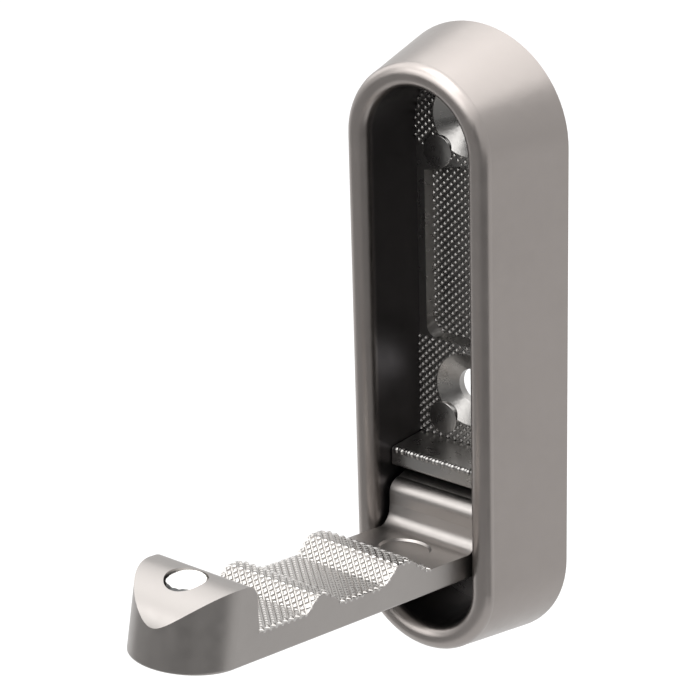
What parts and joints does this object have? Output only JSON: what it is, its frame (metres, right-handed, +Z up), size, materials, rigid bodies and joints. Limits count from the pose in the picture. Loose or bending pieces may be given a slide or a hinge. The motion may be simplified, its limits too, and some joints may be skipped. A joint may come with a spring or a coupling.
{
  "type": "folding wall hook",
  "caption": "Wall hook with an obround cast cover and a ridged, knob-ended arm that hinges down for use and folds up flush into the cover, held by a magnet at its tip.",
  "frame": {"origin": "centre of the cover's back, in the plane of the wall", "axes": "+Z up along the wall, +Y into the wall, +X to the right for someone who faces the wall"},
  "size_m": [0.0252, 0.0591, 0.0762],
  "materials": {
    "cover_nickel": "satin nickel plating on die-cast zinc",
    "plate_nickel": "as-cast dark nickel plating with a knurled face",
    "arm_nickel": "satin nickel plating on die-cast zinc, knurled saddle",
    "pin_steel": "ground steel",
    "magnet_nickel": "bright nickel plating",
    "screw_steel": "zinc-plated steel"
  },
  "bodies": {
    "cover": {"housing": "cover_nickel", "base_plate": "plate_nickel", "plate_screws": "screw_steel"},
    "arm": {"hook_arm": "arm_nickel", "hinge_pin": "pin_steel", "catch_magnet": "magnet_nickel"}
  },
  "joints": [
    {"name": "arm_fold", "type": "hinge", "parent": "cover", "child": "arm", "pos_m": [0, -0.006, -0.02], "axis": [-1, 0, 0], "range_deg": [0, 80.35]}
  ]
}
